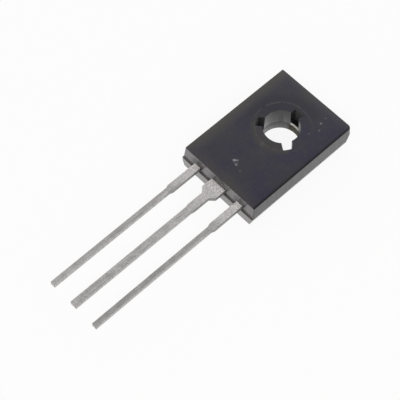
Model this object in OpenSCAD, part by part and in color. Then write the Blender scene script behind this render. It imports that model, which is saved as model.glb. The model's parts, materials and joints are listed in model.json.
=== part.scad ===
// Power transistor in a flat moulded package: three flat leads, and a heat tab that lies bare in the
// back face round the screw hole. The origin is on the hole's axis at the back face: +Z points out of
// the front face, +Y away from the leads, and +X runs across the row of leads.

/* [Moulded body] */
// Width of the front face
front_w = 7.48; // [7.2:0.02:8]
// Length of the front face
front_l = 10.52; // [10.2:0.02:11.2]
// Thickness, from the back face to the front face
body_t = 2.55; // [2.45:0.05:3]
// Height of the mould's parting plane above the back face
parting_h = 1.35; // [1.25:0.05:1.5]
// Draft of the front half's sides and far end, in degrees
front_draft = 4; // [1:0.5:8]
// Draft of the front half's lead end, in degrees
lead_draft = 6.5; // [1:0.5:8]
// How far the back half's lead end stands out past the front half
lead_ledge = 0.13; // [0.05:0.01:0.3]
// How far the back half's other sides stand out past the front half
parting_step = 0.02; // [0.01:0.01:0.05]
// How far the back face's long edges lie inside the parting outline
side_bevel = 0.42; // [0.2:0.02:0.6]
// Height of the bevel along those edges
side_bevel_h = 1.2; // [0.6:0.05:1.2]
// How far the back face's ends lie inside the parting outline
end_bevel = 0.17; // [0.05:0.01:0.3]
// Height of the bevel along those ends
end_bevel_h = 0.45; // [0.2:0.05:1.2]
// Radius of the body's upright corners
corner_r = 0.12; // [0.05:0.01:0.6]

/* [Screw hole] */
// From the hole's axis to the front face's far edge
hole_inset = 3.87; // [3.6:0.01:4.1]
// Diameter of the hole in the moulding
hole_d = 3.12; // [3:0.02:3.3]
// How much smaller the tab's hole is, so that the metal takes the screw
hole_step = 0.02; // [0.01:0.01:0.1]
// Number of slots that the mould's clamping fingers leave round the hole
slot_count = 3; // [2:1:4]
// Width of each slot
slot_w = 0.86; // [0.5:0.02:1]
// Depth of each slot, measured out from the hole's wall
slot_depth = 0.51; // [0.2:0.01:0.6]
// Width of the shallow ring sunk round the hole in the front face
ring_w = 0.8; // [0.62:0.02:1]
// Depth of that ring
ring_depth = 0.04; // [0.02:0.01:0.1]

/* [Leads] */
// Distance from lead to lead, centre to centre
lead_pitch = 2.29; // [2.2:0.01:2.54]
// Thickness of the leads
lead_t = 0.4; // [0.35:0.01:0.5]
// Length of the leads, from the back half's lead end to their tips
lead_l = 14.35; // [10:0.05:16.5]
// Width of the outer leads
outer_w = 0.42; // [0.4:0.01:0.6]
// Width of the outer leads beside the body
outer_root_w = 0.62; // [0.6:0.01:0.9]
// Width of the centre lead
centre_w = 0.6; // [0.5:0.01:0.7]
// Width of the centre lead beside its block
centre_root_w = 0.73; // [0.72:0.01:0.9]
// Length of the wide stretch of every lead beside the body
root_l = 2.65; // [2:0.05:3.5]
// Length over which a wide stretch narrows
root_taper = 0.26; // [0.1:0.02:0.5]
// Width of the centre lead's block, where it leaves the body
block_w = 1.5; // [1.2:0.02:1.8]
// Length of the block outside the body
block_l = 0.8; // [0.4:0.05:1]
// Length of the block's sloping shoulders
block_taper = 0.38; // [0.1:0.02:0.6]

/* [Heat tab] */
// Thickness of the tab
tab_t = 0.95; // [0.8:0.05:1]
// Width of the tab's bare face
tab_w = 5.6; // [5:0.1:5.8]
// Length of the tab's bare face
tab_l = 8; // [7.6:0.1:8.2]
// Plastic between the tab's bare face and the body's far end, at the back
tab_border = 0.6; // [0.5:0.05:0.8]
// How far the flange that keys the tab in the plastic stands out
flange_out = 0.2; // [0.1:0.05:0.3]
// Height of the flange's underside above the back face
flange_h = 0.3; // [0.2:0.05:0.5]
// Radius of the tab's corners
tab_corner_r = 0.4; // [0.1:0.05:0.8]
// Rounding that the punch leaves on the upper edge of the tab's hole
punch_r = 0.12; // [0.05:0.01:0.2]

/* [Chip and bond wires] */
// Side of the square chip
chip_w = 1.4; // [1:0.1:1.6]
// Thickness of the chip
chip_t = 0.25; // [0.15:0.05:0.3]
// From the hole's axis to the chip's centre
chip_inset = 3.35; // [3.1:0.05:3.6]
// Thickness of the solder under the chip
solder_t = 0.05; // [0.03:0.01:0.08]
// Solder that shows round the chip
solder_rim = 0.1; // [0.05:0.05:0.2]
// Thickness of the emitter's bond wire
emitter_wire_d = 0.2; // [0.1:0.01:0.25]
// Thickness of the base's bond wire
base_wire_d = 0.15; // [0.1:0.01:0.25]
// From the chip's middle to each wire's foot, across and along
foot_offset = 0.35; // [0.2:0.05:0.4]
// Angle between a wire's ends and the straight line between them
wire_rise = 42; // [30:1:50]
// Width of the outer leads' inner pads
pad_w = 1.3; // [1:0.05:1.4]
// Length of the outer leads' inner pads
pad_l = 1; // [0.8:0.05:1.05]
// From the back half's lead end to the inner pads
pad_inset = 0.75; // [0.5:0.05:0.8]
// How far each inner pad lies nearer the middle than its lead
pad_shift = 0.35; // [0.1:0.05:0.35]

/* [Surface] */
// Width of the nick in the front face
nick_w = 0.4; // [0.1:0.05:0.6]
// Depth of the nick
nick_depth = 0.06; // [0.02:0.01:0.1]
// Place of the nick across the front face
nick_x = -0.17; // [-1:0.01:1]
// From the hole's axis to the nick
nick_inset = 4.73; // [4:0.01:5.5]

/* [Hidden] */
$fn = 64;

past = 1;                                       // how far a cutter runs past what it cuts
graze = 0.01;                                   // keeps the corners' round clear of the sloping sides
draft_out = (body_t - parting_h) * tan(front_draft);
lead_draft_out = (body_t - parting_h) * tan(lead_draft);
front_y0 = hole_inset - front_l;                // front face's lead end
parting_w = front_w + 2 * draft_out;            // front half's width at the parting plane
parting_y0 = front_y0 - lead_draft_out;         // its lead end there
parting_y1 = hole_inset + draft_out;            // its far end there
back_w = parting_w + 2 * parting_step;          // back half's width at the parting plane
ledge_y0 = parting_y0 - lead_ledge;             // its lead end there
back_y1 = parting_y1 + parting_step;            // its far end there
tip_y = ledge_y0 - lead_l;
lead_top = parting_h + lead_t;

hole_r = hole_d / 2;
tab_hole_r = hole_r - hole_step / 2;
slot_out_r = hole_r + slot_depth;
ring_r = hole_r + ring_w;
tab_y1 = back_y1 - end_bevel - tab_border;      // far end of the tab's bare face
tab_y0 = tab_y1 - tab_l;
flange_y0 = tab_y0 - flange_out;

chip_bottom = tab_t + solder_t;
chip_top = chip_bottom + chip_t;
pad_x = lead_pitch - pad_shift;                 // middle of an inner pad, across
pad_y0 = ledge_y0 + pad_inset;
pad_y = pad_y0 + pad_l / 2;                     // middle of an inner pad, along

moulding_colour = "#403e44";
tin_colour = "#b9b8b6";
solder_colour = "#8f9094";
silicon_colour = "#5a6072";
wire_colour = "#d9d9dc";

// Rectangle between two corners, with round corners
module round_rect(x0, y0, x1, y1, r) {
    translate([x0 + r, y0]) square([x1 - x0 - 2 * r, y1 - y0]);
    translate([x0, y0 + r]) square([x1 - x0, y1 - y0 - 2 * r]);
    for (x = [x0 + r, x1 - r], y = [y0 + r, y1 - r]) translate([x, y]) circle(r);
}

// Profile drawn across the part (X, Z), pushed along Y from y0 to y1
module along_y(y0, y1) {
    translate([0, y1, 0]) rotate([90, 0, 0]) linear_extrude(y1 - y0) children();
}

// Profile drawn along the part (Y, Z), pushed across to half a width on each side
module across_x(w) {
    translate([-w / 2, 0, 0]) rotate([90, 0, 90]) linear_extrude(w) children();
}

// What is cut away to round a block's upright corners. Bottom and top are [half width, lead end,
// far end, z], and each corner leans straight from one to the other.
module corner_cutters(bottom, top) {
    inset = corner_r - graze;                   // from the block's sides to a corner's axis
    for (side = [-1, 1], end = [-1, 1]) {
        i = end < 0 ? 1 : 2;
        from = [side * (bottom[0] - inset), bottom[i] - end * inset, bottom[3]];
        to = [side * (top[0] - inset), top[i] - end * inset, top[3]];
        lean = to - from;
        heading = atan2(lean[1], lean[0]);
        h = norm(lean) + 2 * past;
        translate(from) rotate([0, acos(lean[2] / norm(lean)), heading]) rotate(-heading)
            translate([0, 0, -past]) difference() {
                translate([side < 0 ? -past : 0, end < 0 ? -past : 0, 0]) cube([past, past, h]);
                cylinder(r = corner_r, h = h);
            }
    }
}

module front_half() {
    difference() {
        intersection() {
            along_y(parting_y0 - past, parting_y1 + past) polygon([
                [-parting_w / 2, parting_h], [parting_w / 2, parting_h],
                [front_w / 2, body_t], [-front_w / 2, body_t]]);
            across_x(parting_w + past) polygon([
                [parting_y0, parting_h], [parting_y1, parting_h],
                [hole_inset, body_t], [front_y0, body_t]]);
        }
        corner_cutters([parting_w / 2, parting_y0, parting_y1, parting_h],
                       [front_w / 2, front_y0, hole_inset, body_t]);
    }
}

module back_half() {
    difference() {
        intersection() {
            along_y(ledge_y0 - past, back_y1 + past) polygon([
                [-back_w / 2 + side_bevel, 0], [back_w / 2 - side_bevel, 0],
                [back_w / 2, side_bevel_h], [back_w / 2, parting_h],
                [-back_w / 2, parting_h], [-back_w / 2, side_bevel_h]]);
            across_x(back_w + past) polygon([
                [ledge_y0 + end_bevel, 0], [back_y1 - end_bevel, 0],
                [back_y1, end_bevel_h], [back_y1, parting_h],
                [ledge_y0, parting_h], [ledge_y0, end_bevel_h]]);
        }
        corner_cutters([back_w / 2, ledge_y0, back_y1, 0], [back_w / 2, ledge_y0, back_y1, parting_h]);
    }
}

module body_blank() {
    front_half();
    back_half();
}

// Slots of the clamping fingers: open into the hole and down to the tab
module clamp_slots() {
    z0 = tab_t - 2 * punch_r;
    for (i = [0 : slot_count - 1]) intersection() {
        rotate(90 + i * 360 / slot_count) translate([0, -slot_w / 2, z0])
            cube([slot_out_r + past, slot_w, body_t + past - z0]);
        translate([0, 0, z0]) cylinder(r = slot_out_r, h = body_t + past - z0);
    }
}

// Cap of a ball that leaves a shallow round nick
module nick() {
    r = (pow(nick_w / 2, 2) + pow(nick_depth, 2)) / (2 * nick_depth);
    translate([nick_x, -nick_inset, body_t - nick_depth + r]) sphere(r);
}

module moulded_body() {
    color(moulding_colour) difference() {
        body_blank();
        translate([0, 0, -past]) cylinder(r = hole_r, h = body_t + 2 * past);
        translate([0, 0, body_t - ring_depth]) cylinder(r = ring_r, h = ring_depth + past);
        clamp_slots();
        nick();
        collector_frame();
        outer_lead(-1);
        outer_lead(1);
        chip_solder();
        silicon_chip();
        wire_blank(-1, emitter_wire_d);
        wire_blank(1, base_wire_d);
    }
}

// Half widths of a lead at its stations along Y, mirrored into one flat outline
module lead_outline(stations) {
    last = len(stations) - 1;
    polygon(concat([for (i = [last : -1 : 0]) stations[i]], [for (s = stations) [-s[0], s[1]]]));
}

// Outer lead, its inner pad turned towards the middle: side is -1 on the left, 1 on the right
module outer_lead(side) {
    root_y = ledge_y0 - root_l;
    translate([0, 0, parting_h]) linear_extrude(lead_t) {
        translate([side * lead_pitch, 0]) lead_outline([
            [outer_root_w / 2, pad_y0 + outer_root_w / 2], [outer_root_w / 2, root_y],
            [outer_w / 2, root_y - root_taper], [outer_w / 2, tip_y]]);
        translate([side * pad_x - pad_w / 2, pad_y0]) square([pad_w, pad_l]);
    }
}

// Heat tab, its keyed flange and the centre lead that steps up from it, stamped as one piece
module collector_frame() {
    step = lead_t * tan(22.5);                  // corner shift of a strip bent by 45 degrees
    rise = lead_top - tab_t;
    foot_y = flange_y0 - step;
    root_y = ledge_y0 - root_l;
    block_y = ledge_y0 - block_l;
    color(tin_colour) {
        difference() {
            union() {
                linear_extrude(tab_t) round_rect(-tab_w / 2, tab_y0, tab_w / 2, tab_y1, tab_corner_r);
                translate([0, 0, flange_h]) linear_extrude(tab_t - flange_h)
                    round_rect(-tab_w / 2 - flange_out, flange_y0, tab_w / 2 + flange_out,
                               tab_y1 + flange_out, tab_corner_r);
            }
            translate([0, 0, -past]) cylinder(r = tab_hole_r, h = tab_t + 2 * past);
            punched_edge();
        }
        across_x(block_w) polygon([
            [tab_y0, tab_t], [foot_y, tab_t], [foot_y - rise, lead_top], [ledge_y0, lead_top],
            [ledge_y0, parting_h], [foot_y - rise - step, parting_h],
            [foot_y - step, tab_t - lead_t], [tab_y0, tab_t - lead_t]]);
        translate([0, 0, parting_h]) linear_extrude(lead_t) lead_outline([
            [block_w / 2, ledge_y0], [block_w / 2, block_y],
            [centre_root_w / 2, block_y - block_taper], [centre_root_w / 2, root_y],
            [centre_w / 2, root_y - root_taper], [centre_w / 2, tip_y]]);
    }
}

// Ring that rounds the upper edge of the tab's hole
module punched_edge() {
    rotate_extrude() difference() {
        translate([tab_hole_r - past, tab_t - punch_r]) square([punch_r + past, punch_r + past]);
        translate([tab_hole_r + punch_r, tab_t - punch_r]) circle(punch_r);
    }
}

module emitter_lead() { color(tin_colour) outer_lead(-1); }
module base_lead() { color(tin_colour) outer_lead(1); }

module chip_block(w, z0, t) {
    translate([-w / 2, -chip_inset - w / 2, z0]) cube([w, w, t]);
}

module chip_solder() { color(solder_colour) chip_block(chip_w + 2 * solder_rim, tab_t, solder_t); }
module silicon_chip() { color(silicon_colour) chip_block(chip_w, chip_bottom, chip_t); }

// Wire arched from the chip to an inner pad, and the ball pressed flat at each of its ends
module wire_blank(side, d) {
    from = [side * foot_offset, -chip_inset - foot_offset, chip_top];
    to = [side * pad_x, pad_y, lead_top];
    run = norm([to[0] - from[0], to[1] - from[1]]);
    chord = norm(to - from);
    bend_r = chord / 2 / sin(wire_rise);
    translate(from) rotate(atan2(to[1] - from[1], to[0] - from[0]))
        rotate([90, -atan2(to[2] - from[2], run), 0])
        translate([chord / 2, -bend_r * cos(wire_rise), 0])
        rotate(90 - wire_rise) rotate_extrude(angle = 2 * wire_rise)
        translate([bend_r, 0]) circle(d / 2);
    translate(from) sphere(d);
    translate(to) sphere(d);
}

module bond_wire(side, d) {
    difference() {
        wire_blank(side, d);
        silicon_chip();
        outer_lead(side);
    }
}

module emitter_wire() { color(wire_colour) bond_wire(-1, emitter_wire_d); }
module base_wire() { color(wire_colour) bond_wire(1, base_wire_d); }

moulded_body();
collector_frame();
emitter_lead();
base_lead();
silicon_chip();
chip_solder();
emitter_wire();
base_wire();
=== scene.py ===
import json
import math

import bpy
from mathutils import Matrix, Vector

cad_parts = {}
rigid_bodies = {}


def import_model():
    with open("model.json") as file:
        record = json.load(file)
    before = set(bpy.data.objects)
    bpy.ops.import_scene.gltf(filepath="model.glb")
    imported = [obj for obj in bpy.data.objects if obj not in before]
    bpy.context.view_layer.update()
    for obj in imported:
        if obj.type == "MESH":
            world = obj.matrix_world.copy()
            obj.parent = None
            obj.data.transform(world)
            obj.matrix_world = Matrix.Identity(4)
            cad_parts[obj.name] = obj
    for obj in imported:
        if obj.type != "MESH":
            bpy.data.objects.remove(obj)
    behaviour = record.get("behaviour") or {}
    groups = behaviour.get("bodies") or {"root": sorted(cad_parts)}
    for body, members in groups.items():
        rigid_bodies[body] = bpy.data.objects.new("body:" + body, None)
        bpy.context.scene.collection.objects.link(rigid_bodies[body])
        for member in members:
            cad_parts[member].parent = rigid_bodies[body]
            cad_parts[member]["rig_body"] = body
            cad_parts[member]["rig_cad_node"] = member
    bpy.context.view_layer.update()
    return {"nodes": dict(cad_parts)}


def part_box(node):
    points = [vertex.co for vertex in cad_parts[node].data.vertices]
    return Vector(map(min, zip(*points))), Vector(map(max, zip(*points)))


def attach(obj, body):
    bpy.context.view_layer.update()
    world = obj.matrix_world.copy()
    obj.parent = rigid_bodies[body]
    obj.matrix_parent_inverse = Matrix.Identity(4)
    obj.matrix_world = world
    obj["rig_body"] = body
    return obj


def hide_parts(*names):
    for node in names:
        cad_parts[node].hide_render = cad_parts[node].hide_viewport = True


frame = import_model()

MM = 0.001
ops = bpy.ops
scene = bpy.context.scene

# Sizes in millimetres. The origin is on the hole's axis at the back face, and +Z points out of the
# front face. The leads run to -Y, the near end, and the base lead is on the right, at +X.
body_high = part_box("moulded_body")[1]
tab_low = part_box("collector_frame")[0]
FRONT_Z = body_high[2] / MM             # front face
FRONT_X, FAR_Y = 3.74, 3.87             # its right edge and its far edge
DRAFT = math.tan(math.radians(4))       # how its sides lean in: across for each unit up
PARTING_Z = 1.35                        # where the mould's halves meet
BORE_R = 1.56                           # hole in the moulding, radius
RING_R = 2.36                           # rim of the ring sunk round that hole
HOLE_R = 1.55                           # punched hole in the tab, radius
TAB_T = 0.95                            # thickness of the tab
PITCH = 2.29                            # from each lead to the next
LEAD_Z = 1.55                           # middle of the leads' thickness
TIP_Y = tab_low[1] / MM                 # cut tips of the leads

BODY_EDGE, METAL_EDGE = 0.035, 0.03     # width of the broken edges
SHARP = math.radians(20)                # edges sharper than this are broken
SMOOTH = math.radians(30)               # faces that meet flatter than this shade as one


# ---- Working on one piece ----

def hold_only(piece):
    """Selects this piece alone."""
    if bpy.context.object and bpy.context.object.mode != "OBJECT":
        ops.object.mode_set(mode="OBJECT")
    ops.object.select_all(action="DESELECT")
    piece.select_set(True)
    bpy.context.view_layer.objects.active = piece


def open_mesh(piece):
    hold_only(piece)
    ops.object.mode_set(mode="EDIT")


def close_mesh():
    ops.mesh.select_all(action="DESELECT")
    ops.object.mode_set(mode="OBJECT")


def copy_of_solid(node, name):
    """A joined-up copy of a CAD solid, its flat faces made whole, to be dressed in its place."""
    hold_only(frame["nodes"][node])
    ops.object.duplicate()
    piece = bpy.context.object
    piece.name = name
    piece.parent = None
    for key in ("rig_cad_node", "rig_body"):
        if key in piece:
            del piece[key]
    open_mesh(piece)
    ops.mesh.select_all(action="SELECT")
    ops.mesh.remove_doubles(threshold=0.0005 * MM)
    ops.mesh.dissolve_limited(angle_limit=math.radians(0.5))
    close_mesh()
    return piece


def wear_corner(piece):
    """Knocks the body's far right corner round. One fan of cuts leans with the drafted sides; the
    one below it leans in more, since the corner is worn more towards the back."""
    radius, worn_z, growth = 0.35, 1.8, 0.75    # the round, where it starts to grow, how fast
    open_mesh(piece)
    for from_z, grows in ((FRONT_Z, 0.0), (worn_z, growth)):
        for degrees in (15, 30, 45, 60, 75):
            across, along = math.cos(math.radians(degrees)), math.sin(math.radians(degrees))
            sloped = DRAFT * (across + along)
            reach = across * (FRONT_X - radius) + along * (FAR_Y - radius) + radius
            reach += sloped * (FRONT_Z - from_z)
            lean = sloped - grows * (across + along - 1)
            ops.mesh.select_all(action="SELECT")
            ops.mesh.bisect(plane_co=(across * reach * MM, along * reach * MM, from_z * MM),
                            plane_no=(across, along, lean), use_fill=True, clear_outer=True,
                            threshold=0.0001 * MM)
    close_mesh()


def draw_in_rim(piece):
    """Draws the hole's front rim in, most on its near right side."""
    share, towards = 0.955, (-1.1, 1.1)
    rim_low, rim_slack = 2.4, 0.05
    open_mesh(piece)
    ops.mesh.select_mode(type="VERT")
    close_mesh()
    for point in piece.data.vertices:
        place = point.co / MM
        point.select = place.z > rim_low and abs(place.xy.length - BORE_R) < rim_slack
    ops.object.mode_set(mode="EDIT")
    ops.transform.resize(value=(share, share, 1),
                         center_override=(towards[0] * MM, towards[1] * MM, 0))
    close_mesh()


def round_edges(piece, width, steps=2):
    """Breaks every sharp edge."""
    hold_only(piece)
    bevel = piece.modifiers.new("broken_edges", "BEVEL")
    bevel.width = width
    bevel.segments = steps
    bevel.limit_method = "ANGLE"
    bevel.angle_limit = SHARP
    bevel.use_clamp_overlap = True
    bevel.harden_normals = False
    ops.object.modifier_apply(modifier=bevel.name)


def finish_piece(piece, node, material):
    """Shades the piece, gives it its material and puts it in the place of its CAD node."""
    hold_only(piece)
    ops.object.shade_smooth_by_angle(angle=SMOOTH)
    flat = piece.modifiers.new("flat_faces_stay_flat", "WEIGHTED_NORMAL")
    flat.keep_sharp = True
    ops.object.modifier_apply(modifier=flat.name)
    piece.data.materials.clear()
    piece.data.materials.append(material)
    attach(piece, "root")
    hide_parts(node)


# ---- Building blocks of the finishes ----

def plug(tree, node, inputs):
    """Links or sets each of a node's inputs."""
    for key, value in inputs.items():
        if isinstance(value, bpy.types.NodeSocket):
            tree.links.new(value, node.inputs[key])
        else:
            node.inputs[key].default_value = value


def add(tree, kind, inputs=None, out=0, **settings):
    """Adds a shader node, plugs or sets its inputs, and gives back one of its outputs."""
    made = tree.nodes.new("ShaderNode" + kind)
    for key, value in settings.items():
        setattr(made, key, value)
    plug(tree, made, inputs or {})
    return made.outputs[out]


def maths(tree, operation, a, b=0.0, clamp=False):
    return add(tree, "Math", {0: a, 1: b}, operation=operation, use_clamp=clamp)


def times(tree, first, *others):
    for other in others:
        first = maths(tree, "MULTIPLY", first, other)
    return first


def minus(tree, a, b):
    return maths(tree, "SUBTRACT", a, b)


def greater(tree, a, b):
    return maths(tree, "MAXIMUM", a, b)


def size_of(tree, value):
    return maths(tree, "ABSOLUTE", value)


def gap(tree, value, level):
    """How far a value lies from a level, on either side."""
    return size_of(tree, minus(tree, value, level))


def sum_of(tree, base, *terms):
    """A base value, with each mask added in its own share."""
    for mask, share in terms:
        base = maths(tree, "ADD", base, times(tree, mask, share))
    return base


def rise(tree, value, low, high):
    """Straight rise from 0 to 1 between two levels."""
    return add(tree, "MapRange", {"Value": value, "From Min": low, "From Max": high})


def ramp(tree, value, low, high, from_value=0.0, to_value=1.0):
    """Smooth step of a value between two levels."""
    return add(tree, "MapRange", {"Value": value, "From Min": low, "From Max": high,
                                  "To Min": from_value, "To Max": to_value},
               interpolation_type="SMOOTHSTEP")


def blend(tree, fac, a, b):
    """Colour that goes from a to b with fac. Each is a socket or three numbers."""
    a, b = (c if isinstance(c, bpy.types.NodeSocket) else (*c, 1) for c in (a, b))
    return add(tree, "Mix", {0: fac, 6: a, 7: b}, out=2, data_type="RGBA")


def in_mm(tree):
    """Place on the piece, in millimetres."""
    place = add(tree, "TexCoord", out="Object")
    return add(tree, "Mapping", {"Vector": place, "Scale": (1 / MM,) * 3})


def facing(tree):
    """Which way the surface faces."""
    return add(tree, "TexCoord", out="Normal")


def xyz(tree, vector):
    """The three parts of a vector."""
    return tuple(add(tree, "SeparateXYZ", {0: vector}).node.outputs)


def from_axis(tree, x, y):
    """Distance from the axis of the hole."""
    flat_place = add(tree, "CombineXYZ", {0: x, 1: y})
    return add(tree, "VectorMath", {0: flat_place}, out="Value", operation="LENGTH")


def stretched(tree, place, scale):
    return add(tree, "Mapping", {"Vector": place, "Scale": scale})


def noise(tree, place, scale, detail=2.0, roughness=0.5):
    return add(tree, "TexNoise", {"Vector": place, "Scale": scale, "Detail": detail,
                                  "Roughness": roughness})


def bump(tree, height, distance=MM, strength=1.0):
    return add(tree, "Bump", {"Height": height, "Distance": distance, "Strength": strength})


def new_group(name, inputs, outputs):
    tree = bpy.data.node_groups.new(name, "ShaderNodeTree")
    for label, kind, value in inputs:
        socket = tree.interface.new_socket(name=label, in_out="INPUT", socket_type=kind)
        if value is not None:
            socket.default_value = value
    for label in outputs:
        tree.interface.new_socket(name=label, in_out="OUTPUT", socket_type="NodeSocketFloat")
    return tree, tree.nodes.new("NodeGroupInput").outputs, tree.nodes.new("NodeGroupOutput")


def use_group(tree, group, inputs):
    return add(tree, "Group", inputs, node_tree=group)


def new_material(name):
    material = bpy.data.materials.new(name)
    material.use_nodes = True
    return material, material.node_tree, material.node_tree.nodes["Principled BSDF"]


VECTOR, NUMBER = "NodeSocketVector", "NodeSocketFloat"

# Edge wear: 1 where an edge is rubbed, broken up by a noise
edge_wear, given, result = new_group(
    "edge_wear", [("Place", VECTOR, None), ("Width", NUMBER, 0.00006), ("Break", NUMBER, 3.0)],
    ["Mask"])
bent = add(edge_wear, "Bevel", {"Radius": given["Width"]}, samples=6)
flat = add(edge_wear, "NewGeometry", out="Normal")
turn = add(edge_wear, "VectorMath", {0: bent, 1: flat}, out="Value", operation="DOT_PRODUCT")
rub = ramp(edge_wear, turn, 0.995, 0.90)
broken = ramp(edge_wear, noise(edge_wear, given["Place"], given["Break"], 4.0, 0.6), 0.35, 0.62)
plug(edge_wear, result, {"Mask": times(edge_wear, rub, broken)})

# Grain: a fine and a coarse unevenness, each about 0 to 1
grain, given, result = new_group(
    "grain", [("Place", VECTOR, None), ("Fine", NUMBER, 12.0), ("Coarse", NUMBER, 1.0)],
    ["Fine", "Coarse"])
plug(grain, result, {"Fine": noise(grain, given["Place"], given["Fine"], 2.0),
                     "Coarse": noise(grain, given["Place"], given["Coarse"], 4.0, 0.55)})

# Specks: small round spots, one here and there
specks, given, result = new_group(
    "specks", [("Place", VECTOR, None), ("Number", NUMBER, 2.0), ("Size", NUMBER, 0.1),
               ("Share", NUMBER, 0.2)], ["Mask"])
off = add(specks, "TexVoronoi", {"Vector": given["Place"], "Scale": given["Number"]},
          out="Distance")
spot = maths(specks, "LESS_THAN", off, given["Size"])
drawn = add(specks, "SeparateColor", {0: off.node.outputs["Color"]})
kept = maths(specks, "LESS_THAN", drawn, given["Share"])
plug(specks, result, {"Mask": times(specks, spot, kept)})

# Scratches: thin lines along one direction, in patches
scratches, given, result = new_group(
    "scratches", [("Place", VECTOR, None), ("Turn", VECTOR, (0, 0, 0)), ("Share", NUMBER, 0.3)],
    ["Mask"])
turned = add(scratches, "Mapping", {"Vector": given["Place"], "Rotation": given["Turn"]})
lines = noise(scratches, stretched(scratches, turned, (0.35, 9.0, 0.35)), 1.0, 2.0, 0.4)
thin = ramp(scratches, gap(scratches, lines, 0.5), 0.012, 0.0)
patch = ramp(scratches, noise(scratches, given["Place"], 0.6, 2.0), 0.62, 0.72)
patches = times(scratches, patch, given["Share"])
plug(scratches, result, {"Mask": times(scratches, thin, patches)})

# Mark: 1 within a round spot of the given size, fading at its rim
mark, given, result = new_group(
    "mark", [("Place", VECTOR, None), ("Centre", VECTOR, (0, 0, 0)), ("Radius", NUMBER, 0.1)],
    ["Mask"])
off = add(mark, "VectorMath", {0: given["Place"], 1: given["Centre"]}, out="Value",
          operation="DISTANCE")
share = maths(mark, "DIVIDE", off, given["Radius"])
plug(mark, result, {"Mask": ramp(mark, share, 1.0, 0.4)})


def grains(tree, place, fine, coarse):
    """Fine and coarse unevenness of a surface."""
    made = use_group(tree, grain, {"Place": place, "Fine": fine, "Coarse": coarse}).node
    return tuple(made.outputs)


def hole_wall(tree, place):
    """Colour of the compound on the wall of the hole: brownish black, in fine drawn lines."""
    drawn = noise(tree, stretched(tree, place, (7.0, 7.0, 0.5)), 1.0, 3.0, 0.6)
    return blend(tree, ramp(tree, drawn, 0.35, 0.65), (0.003, 0.002, 0.002),
                 (0.036, 0.028, 0.030))


# ---- Finishes ----

# Painted shade over the lead end, one patch above each lead: across, and radius
ROOT_SHADES = ((0, 1.3), (-PITCH, 0.85), (PITCH, 0.85))

# Chips in the front face, the nick's four and a few spots beside it and the hole:
# centre, radius, and how strongly the filler shows
CHIPS = (((-0.41, -4.73, 2.50), 0.14, 0.9), ((-0.31, -4.63, 2.50), 0.13, 0.7),
         ((-0.19, -4.52, 2.50), 0.12, 0.4), ((0.02, -4.89, 2.50), 0.15, 0.5),
         ((0.62, -5.08, FRONT_Z), 0.10, 0.12), ((1.85, 2.42, FRONT_Z), 0.13, 0.45),
         ((2.20, 1.87, FRONT_Z), 0.10, 0.3), ((1.85, 1.10, FRONT_Z), 0.10, 0.25),
         ((1.77, 3.00, FRONT_Z), 0.09, 0.2))


def side_colour(tree, place, off_axis, at_leads, mottle):
    """Colour of the moulding's sides and of the wall of its hole."""
    z = xyz(tree, place)[2]
    drawn = noise(tree, stretched(tree, place, (3.5, 3.5, 0.4)), 1.0, 3.0, 0.6)
    colour = blend(tree, ramp(tree, drawn, 0.3, 0.7), (0.012, 0.010, 0.014),
                   (0.042, 0.039, 0.043))
    # Painted light: the lead end is drawn the palest side, the more so below the leads
    end = blend(tree, mottle, (0.105, 0.095, 0.102), (0.170, 0.155, 0.161))
    colour = blend(tree, at_leads, colour, end)
    below = times(tree, at_leads, ramp(tree, z, PARTING_Z + 0.05, PARTING_Z - 0.02))
    low_end = blend(tree, mottle, (0.180, 0.165, 0.170), (0.250, 0.230, 0.236))
    colour = blend(tree, below, colour, low_end)
    # Painted light: the skirt below the parting line is drawn paler than the rest of the other
    # sides, lifting the dark its rounded edge shades to
    skirt = ramp(tree, gap(tree, z, PARTING_Z - 0.07), 0.13, 0.08)
    skirt = times(tree, skirt, minus(tree, 1.0, at_leads))
    colour = blend(tree, skirt, colour, (0.26, 0.25, 0.25))
    in_hole = ramp(tree, off_axis, 2.4, 1.9)
    colour = blend(tree, in_hole, colour, hole_wall(tree, place))
    # Painted shade: a darker patch over the root of each lead, where the lead end lies in shade
    for across, reach in ROOT_SHADES:
        root_shade = use_group(tree, mark, {"Place": place, "Centre": (across, -6.8, 1.9),
                                        "Radius": reach})
        root_shade = times(tree, root_shade, ramp(tree, mottle, 0.25, 0.6, 0.45, 0.95))
        colour = blend(tree, root_shade, colour, (0.014, 0.011, 0.011))
    return colour


def wear_ring(tree, colour, x, y, off_axis, on_front, mottle):
    """The ring round the hole: its floor paler on the near side, with painted shade on the far left
    side.
    """
    in_ring = ramp(tree, off_axis, RING_R + 0.25, RING_R - 0.15)
    pale_near_floor = times(tree, in_ring, ramp(tree, y, -0.9, -1.5, 0.0, 0.75), on_front)
    colour = blend(tree, pale_near_floor, colour, (0.042, 0.039, 0.035))
    far_left = minus(tree, y, x)
    # Painted shade darkens the face on the far left side of the ring
    painted_far_left_shade = times(tree, ramp(tree, far_left, 0.0, 2.0, 0.0, 0.55),
                      ramp(tree, off_axis, 3.4, 2.6), on_front)
    colour = blend(tree, painted_far_left_shade, colour, (0.014, 0.0135, 0.021))
    # A painted highlight runs along the near side of the ring's floor, where its step catches the
    # light
    painted_step_highlight = times(tree, ramp(tree, gap(tree, off_axis, RING_R - 0.28), 0.12, 0.03),
                      pale_near_floor, ramp(tree, mottle, 0.3, 0.6))
    colour = blend(tree, painted_step_highlight, colour, (0.060, 0.057, 0.055))
    # Its rim is drawn paler, the more so away from the base lead
    rim_line = times(tree, ramp(tree, gap(tree, off_axis, RING_R - 0.06), 0.08, 0.02),
                     ramp(tree, far_left, 0.4, 2.6, 0.15, 1.0), ramp(tree, mottle, 0.3, 0.55))
    return blend(tree, rim_line, colour, (0.070, 0.068, 0.078))


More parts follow.
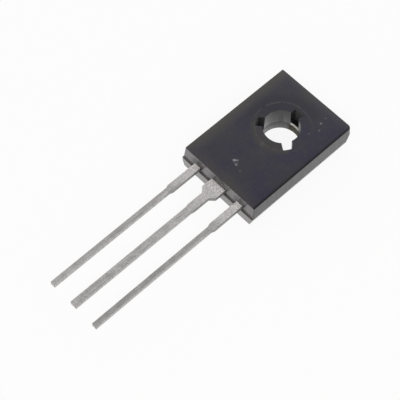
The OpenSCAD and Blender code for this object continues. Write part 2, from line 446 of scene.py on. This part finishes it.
def make_moulding():
    """Satin black epoxy compound: cloudy, finely grained, rubbed at its edges."""
    material, tree, shader = new_material("moulding_compound")
    place = in_mm(tree)
    x, y, z = xyz(tree, place)
    off_axis = from_axis(tree, x, y)
    fine, cloud = grains(tree, place, 13.0, 0.5)
    mottle = noise(tree, place, 2.6, 3.0, 0.6)
    wear = use_group(tree, edge_wear, {"Place": place, "Width": 0.05 * MM, "Break": 2.2})
    dust = use_group(tree, specks, {"Place": place, "Number": 2.4, "Size": 0.10, "Share": 0.10})
    lines = use_group(tree, scratches, {"Place": place, "Turn": (0, 0, 0.6), "Share": 0.8})

    # What faces sideways: the walls of the slots round the hole, and all the rest
    turn_y, turn_z = xyz(tree, facing(tree))[1:]
    sideways = ramp(tree, size_of(tree, turn_z), 0.6, 0.4)
    in_slot = times(tree, ramp(tree, off_axis, 1.60, 1.70), ramp(tree, off_axis, 3.2, 3.0),
                    sideways)
    on_side = minus(tree, sideways, in_slot)
    on_front = minus(tree, 1.0, greater(tree, on_side, in_slot))
    at_leads = ramp(tree, turn_y, -0.6, -0.9)

    colour = blend(tree, ramp(tree, cloud, 0.35, 0.65), (0.0240, 0.0225, 0.0440),
                   (0.0295, 0.0285, 0.0370))
    colour = blend(tree, ramp(tree, mottle, 0.45, 0.75, 0.0, 0.6), colour, (0.038, 0.034, 0.044))
    # The rims of the front face are a little paler and browner: partly a browner tint of the
    # compound, partly painted light along them
    rim = greater(tree, ramp(tree, x, -2.5, -FRONT_X), ramp(tree, y, 3.1, 3.95, 0.0, 0.6))
    rim = greater(tree, rim, ramp(tree, y, -5.4, -6.6, 0.0, 0.75))
    rim = times(tree, rim, ramp(tree, cloud, 0.2, 0.6, 0.5, 1.0))
    colour = blend(tree, rim, colour, (0.053, 0.049, 0.043))
    # Along its right edge it sinks away; its colour there is painted dark, as a painted reflection
    # of the dark its rounded edge faces
    sunk_edge_painted_dark = ramp(tree, x, 3.48, 3.68)
    colour = blend(tree, sunk_edge_painted_dark, colour, (0.004, 0.004, 0.006))
    # Painted light: the ledge at the parting line is drawn pale, against the shade it lies in
    ledge = ramp(tree, gap(tree, z, PARTING_Z), 0.05, 0.02)
    colour = blend(tree, ledge, colour, (0.10, 0.09, 0.085))
    colour = blend(tree, on_side, colour, side_colour(tree, place, off_axis, at_leads, mottle))
    # The slot walls go near black by the hole; their outer ends are painted paler, as painted light
    # against the shade inside the slots
    slot_end = ramp(tree, off_axis, 1.98, 2.04)
    slot_colour = blend(tree, slot_end, (0.005, 0.005, 0.007), (0.050, 0.047, 0.050))
    colour = blend(tree, in_slot, colour, slot_colour)
    colour = wear_ring(tree, colour, x, y, off_axis, on_front, mottle)
    colour = blend(tree, times(tree, wear, 0.55), colour, (0.085, 0.08, 0.08))
    colour = blend(tree, times(tree, dust, 0.45), colour, (0.11, 0.105, 0.115))
    colour = blend(tree, times(tree, lines, 0.5), colour, (0.08, 0.077, 0.085))
    # Chips bare the compound's pale filler
    for centre, radius, share in CHIPS:
        chip = use_group(tree, mark, {"Place": place, "Centre": centre, "Radius": radius})
        chip = times(tree, chip, ramp(tree, fine, 0.3, 0.6, 0.3, share))
        colour = blend(tree, chip, colour, (0.36, 0.35, 0.38))

    roughness = sum_of(tree, 0.20, (cloud, 0.10), (fine, 0.06), (wear, 0.2), (on_side, -0.13),
                       (in_slot, 0.5))

    # The front face sinks a little towards its edges, as moulded faces do
    sag_across = maths(tree, "POWER", rise(tree, size_of(tree, x), 2.7, 3.75), 2.0)
    sag_far = maths(tree, "POWER", rise(tree, y, 2.9, 3.9), 2.0)
    sag = maths(tree, "ADD", sag_across, sag_far)
    height = sum_of(tree, 0.0, (sag, -0.034), (sunk_edge_painted_dark, -0.03), (fine, 0.0022),
                    (mottle, 0.006), (lines, -0.003))
    plug(tree, shader, {"Base Color": colour, "Roughness": roughness, "IOR": 1.6,
                        "Normal": bump(tree, height)})
    return material


def lead_tip(tree, x, z):
    """Mask of the rim round a lead's cut tip."""
    off_centre = size_of(tree, x)
    off_middle = gap(tree, z, LEAD_Z)
    # The first mask finds the sides of the outer leads, the second those of the centre one
    sides = greater(tree, ramp(tree, gap(tree, off_centre, PITCH), 0.11, 0.17),
                    ramp(tree, off_middle, 0.10, 0.16))
    sides = times(tree, sides, ramp(tree, off_centre, 0.2, 0.26))
    return greater(tree, sides, ramp(tree, off_middle, 0.12, 0.17))


def make_tin():
    """Matt tin plate on copper strip: mottled grain, rolling lines, sheared edges, bare tips."""
    material, tree, shader = new_material("tin_plate")
    place = in_mm(tree)
    x, y, z = xyz(tree, place)
    off_centre = size_of(tree, x)
    off_axis = from_axis(tree, x, y)
    on_edge = ramp(tree, size_of(tree, xyz(tree, facing(tree))[2]), 0.95, 0.6)
    fine, mottle = grains(tree, place, 9.0, 1.6)
    rolling = noise(tree, stretched(tree, place, (7.0, 0.5, 7.0)), 1.0, 3.0, 0.6)
    shear = noise(tree, stretched(tree, place, (5.0, 5.0, 0.8)), 1.6, 2.0, 0.6)
    wear = use_group(tree, edge_wear, {"Place": place, "Width": 0.04 * MM, "Break": 4.0})
    pits = use_group(tree, specks, {"Place": place, "Number": 3.6, "Size": 0.22, "Share": 0.25})

    colour = blend(tree, ramp(tree, mottle, 0.32, 0.68), (0.65, 0.635, 0.625), (0.77, 0.75, 0.74))
    # The plate is whiter on the collector lead; on the wide roots it is painted whiter than along
    # the leads, as painted light where they catch a brighter reflection
    collector = ramp(tree, off_centre, 0.9, 0.8, 0.0, 0.35)
    colour = blend(tree, collector, colour, (0.96, 0.94, 0.93))
    root = ramp(tree, y, TIP_Y + 11.0, TIP_Y + 13.8)
    colour = blend(tree, root, colour, (0.98, 0.95, 0.94))
    colour = blend(tree, ramp(tree, fine, 0.38, 0.62, 0.0, 0.5), colour, (0.50, 0.485, 0.48))
    # Rolling lines, the dark ones fainter on the roots
    bright_line = ramp(tree, rolling, 0.52, 0.70, 0.0, 0.6)
    dark_line = times(tree, ramp(tree, rolling, 0.46, 0.32, 0.0, 0.6),
                      ramp(tree, root, 0.0, 1.0, 1.0, 0.4))
    colour = blend(tree, bright_line, colour, (0.94, 0.925, 0.91))
    colour = blend(tree, dark_line, colour, (0.45, 0.44, 0.43))
    colour = blend(tree, times(tree, pits, 0.4), colour, (0.36, 0.35, 0.35))
    # The middle of the outer leads, and all the base lead down to its tip, are drawn darker
    outer_middle = times(tree, ramp(tree, off_centre, 1.6, 1.8), ramp(tree, y, -10.2, -11.2))
    darker_stretch = times(tree, outer_middle,
                   greater(tree, ramp(tree, y, -16.6, -14.6), ramp(tree, x, 1.6, 1.8)))
    colour = blend(tree, times(tree, darker_stretch, 0.3), colour, (0.50, 0.49, 0.48))
    # The emitter lead's lower end is drawn paler
    paler_stretch = times(tree, ramp(tree, x, -1.6, -1.8), ramp(tree, y, -16.8, -17.8))
    colour = blend(tree, times(tree, paler_stretch, 0.22), colour, (0.98, 0.97, 0.96))
    # The plate is thin and dark on the sheared edges; near the body they are painted darker still,
    # as painted shade where the body keeps the light off them
    cut_edge = blend(tree, ramp(tree, shear, 0.4, 0.65), (0.36, 0.355, 0.35), (0.50, 0.49, 0.485))
    body_shade_on_edges = ramp(tree, y, TIP_Y + 10.2, TIP_Y + 12.2, 0.0, 0.8)
    cut_edge = blend(tree, body_shade_on_edges, cut_edge, (0.12, 0.115, 0.115))
    colour = blend(tree, times(tree, on_edge, 0.85), colour, cut_edge)
    colour = blend(tree, times(tree, wear, 0.2), colour, (0.80, 0.79, 0.78))
    # The tips are cut last, and bright, but for the dark skin that the cut drags round their rims
    tip = times(tree, ramp(tree, y, TIP_Y + 0.035, TIP_Y + 0.01), on_edge)
    bare = blend(tree, fine, (0.44, 0.43, 0.42), (0.62, 0.60, 0.59))
    colour = blend(tree, tip, colour, bare)
    dragged = times(tree, tip, times(tree, lead_tip(tree, x, z), 0.85))
    colour = blend(tree, dragged, colour, (0.24, 0.235, 0.23))
    # The wall of the punched hole is dull and tarnished
    in_hole = times(tree, ramp(tree, off_axis, HOLE_R + 0.04, HOLE_R + 0.01),
                    ramp(tree, z, TAB_T - 0.06, TAB_T - 0.14))
    tarnish = blend(tree, ramp(tree, shear, 0.35, 0.65), (0.055, 0.055, 0.038), (0.105, 0.10, 0.07))
    colour = blend(tree, in_hole, colour, tarnish)
    # On its left side a skin of the compound has crept over it
    skin = times(tree, in_hole, ramp(tree, x, -0.35, -0.75))
    colour = blend(tree, skin, colour, hole_wall(tree, place))
    # In the slots the tab is painted dark, as painted shade, and its rolled edge in the far one
    # carries a painted highlight
    slot_shade = times(tree, ramp(tree, off_axis, 2.4, 2.2),
                    ramp(tree, z, TAB_T - 0.13, TAB_T - 0.07))
    rolled_edge_highlight = times(tree, slot_shade, ramp(tree, off_axis, HOLE_R + 0.13, HOLE_R + 0.10),
                   ramp(tree, off_centre, 0.46, 0.42))
    colour = blend(tree, slot_shade, colour, (0.06, 0.055, 0.055))
    colour = blend(tree, rolled_edge_highlight, colour, (0.95, 0.93, 0.90))

    # The last of each root is scuffed matt where the mould clamped it
    clamped = times(tree, ramp(tree, y, -7.7, -7.1), ramp(tree, y, -6.0, -6.3))
    roughness = sum_of(tree, 0.34, (mottle, 0.16), (in_hole, 0.2), (skin, -0.47), (root, 0.06),
                       (clamped, 0.35))
    roughness = maths(tree, "SUBTRACT", roughness, times(tree, wear, 0.1), clamp=True)
    height = sum_of(tree, 0.0, (fine, 0.006), (rolling, 0.004), (mottle, 0.008), (pits, -0.003),
                    (times(tree, shear, on_edge), 0.01))
    plug(tree, shader, {"Base Color": colour, "Roughness": roughness,
                        "Metallic": minus(tree, 1.0, skin), "IOR": 1.6,
                        "Normal": bump(tree, height)})
    return material


def make_silicon():
    """Planar chip: blue-grey oxide, the comb of emitter and base metal, sawn sides."""
    middle_y, half_comb, tooth = -3.35, 0.6, 0.07       # of the comb of metal
    material, tree, shader = new_material("silicon_chip_face")
    place = in_mm(tree)
    x, y, _ = xyz(tree, place)
    up = ramp(tree, xyz(tree, facing(tree))[2], 0.5, 0.9)
    fingers = ramp(tree, maths(tree, "PINGPONG", y, tooth), 0.03, 0.04)
    within = times(tree, ramp(tree, size_of(tree, x), half_comb, half_comb - 0.02),
                   ramp(tree, gap(tree, y, middle_y), half_comb, half_comb - 0.02))
    metal = times(tree, fingers, within, up)
    stain = grains(tree, place, 30.0, 3.0)[1]
    saw = noise(tree, stretched(tree, place, (3.0, 3.0, 60.0)), 1.0, 2.0)
    oxide = blend(tree, stain, (0.05, 0.07, 0.13), (0.10, 0.09, 0.16))
    sawn = blend(tree, saw, (0.12, 0.12, 0.13), (0.26, 0.26, 0.27))
    colour = blend(tree, metal, blend(tree, up, sawn, oxide), (0.80, 0.80, 0.80))
    height = sum_of(tree, 0.0, (metal, 0.003), (saw, 0.001))
    plug(tree, shader, {"Base Color": colour, "Roughness": ramp(tree, saw, 0.2, 0.8, 0.18, 0.42),
                        "Metallic": sum_of(tree, 0.35, (metal, 0.6)),
                        "Normal": bump(tree, height, strength=0.8)})
    return material


def make_solder():
    """Dull grey die-attach solder with a grainy, pitted skin."""
    material, tree, shader = new_material("die_attach_solder")
    place = in_mm(tree)
    fine, lumps = grains(tree, place, 22.0, 4.0)
    pits = use_group(tree, specks, {"Place": place, "Number": 9.0, "Size": 0.25, "Share": 0.3})
    colour = blend(tree, ramp(tree, lumps, 0.3, 0.7), (0.30, 0.30, 0.32), (0.46, 0.46, 0.48))
    colour = blend(tree, times(tree, pits, 0.5), colour, (0.16, 0.16, 0.17))
    height = sum_of(tree, 0.0, (lumps, 0.008), (fine, 0.003))
    plug(tree, shader, {"Base Color": colour, "Roughness": ramp(tree, fine, 0.2, 0.8, 0.34, 0.6),
                        "Metallic": 1.0, "Normal": bump(tree, height)})
    return material


def make_wire():
    """Aluminium bond wire: drawing lines and dull, scuffed patches."""
    material, tree, shader = new_material("bond_wire_aluminium")
    place = in_mm(tree)
    drawn = noise(tree, stretched(tree, place, (40.0, 4.0, 40.0)), 1.0, 2.0)
    patches = grains(tree, place, 30.0, 3.5)[1]
    colour = blend(tree, ramp(tree, patches, 0.35, 0.65), (0.66, 0.66, 0.67), (0.86, 0.86, 0.87))
    colour = blend(tree, ramp(tree, drawn, 0.5, 0.8, 0.0, 0.4), colour, (0.55, 0.55, 0.56))
    plug(tree, shader, {"Base Color": colour,
                        "Roughness": ramp(tree, patches, 0.2, 0.8, 0.22, 0.45),
                        "Metallic": 1.0, "Normal": bump(tree, drawn, distance=0.002 * MM)})
    return material


# ---- Pieces ----

body = copy_of_solid("moulded_body", "body_moulding")
wear_corner(body)
draw_in_rim(body)
round_edges(body, BODY_EDGE * MM, 3)
finish_piece(body, "moulded_body", make_moulding())

tin = make_tin()
for node, name in (("collector_frame", "collector_tab_and_lead"), ("emitter_lead", "emitter_strip"),
                   ("base_lead", "base_strip")):
    strip = copy_of_solid(node, name)
    round_edges(strip, METAL_EDGE * MM)
    finish_piece(strip, node, tin)

# The sealed pieces keep their solids
wire = make_wire()
for node, material in (("silicon_chip", make_silicon()), ("chip_solder", make_solder()),
                       ("emitter_wire", wire), ("base_wire", wire)):
    for material_slot in frame["nodes"][node].material_slots:
        material_slot.material = material


# ---- Floor ----

ops.object.select_all(action="DESELECT")
ops.mesh.primitive_plane_add(size=2)
floor = bpy.context.object
floor.name = "floor"
paper, tree, shader = new_material("white_paper")
plug(tree, shader, {"Base Color": (0.9, 0.9, 0.9, 1), "Roughness": 0.9,
                    "Specular IOR Level": 0.1})
# It glows white where it is seen, straight on or in a reflection, and lights the part as paper
seen = greater(tree, add(tree, "LightPath", out="Is Camera Ray"),
               add(tree, "LightPath", out="Is Glossy Ray"))
glow = add(tree, "Emission", {"Color": (1, 1, 1, 1), "Strength": 1.0})
mixed = add(tree, "MixShader", {0: times(tree, seen, 0.9), 1: shader.outputs[0], 2: glow})
plug(tree, tree.nodes["Material Output"], {"Surface": mixed})
floor.data.materials.append(paper)


# ---- Light ----

# A dome, white low down and dark overhead
world = bpy.data.worlds.new("studio")
scene.world = world
world.use_nodes = True
tree = world.node_tree
up_share = xyz(tree, add(tree, "TexCoord", out="Generated"))[2]
dome = blend(tree, ramp(tree, up_share, 0.62, 1.0), (1.0, 0.995, 0.985), (0.10, 0.10, 0.11))
plug(tree, tree.nodes["Background"], {"Color": dome, "Strength": 1.0})

softbox = bpy.data.lights.new("key_softbox", "AREA")
softbox.size, softbox.energy = 0.20, 0.7
lamp = bpy.data.objects.new("key_softbox", softbox)
scene.collection.objects.link(lamp)
lamp_place, lit = Vector((0.20, -0.25, 0.42)), Vector((0, -0.008, 0))
lamp.location = lamp_place
lamp.rotation_euler = (lit - lamp_place).to_track_quat("-Z", "Y").to_euler()


# ---- Camera ----

azimuth, elevation, roll = math.radians(46.69), math.radians(60.59), math.radians(-0.12)
back = Vector((math.sin(azimuth) * math.cos(elevation), -math.cos(azimuth) * math.cos(elevation),
               math.sin(elevation)))
right = Vector((math.cos(azimuth), math.sin(azimuth), 0))
up = back.cross(right)
right, up = (right * math.cos(roll) + up * math.sin(roll),
             up * math.cos(roll) - right * math.sin(roll))
distance = 104.8 * MM
lens, sensor = 125.3394, 36
aim = Vector((0, -6.6 * MM, FRONT_Z * MM))
span = distance * sensor / lens         # width that the frame takes in at the aim
aim_right, aim_up = 0.0494 * span, 0.0549 * span        # where the aim shows, off the middle

cam_data = bpy.data.cameras.new("camera")
cam_data.sensor_width = sensor
cam_data.lens = lens
cam_data.clip_start, cam_data.clip_end = 0.001, 10
camera = bpy.data.objects.new("camera", cam_data)
scene.collection.objects.link(camera)
stand = aim + back * distance - right * aim_right - up * aim_up
camera.matrix_world = Matrix.Translation(stand) @ Matrix((right, up, back)).transposed().to_4x4()
scene.camera = camera
scene.view_settings.view_transform = "Standard"
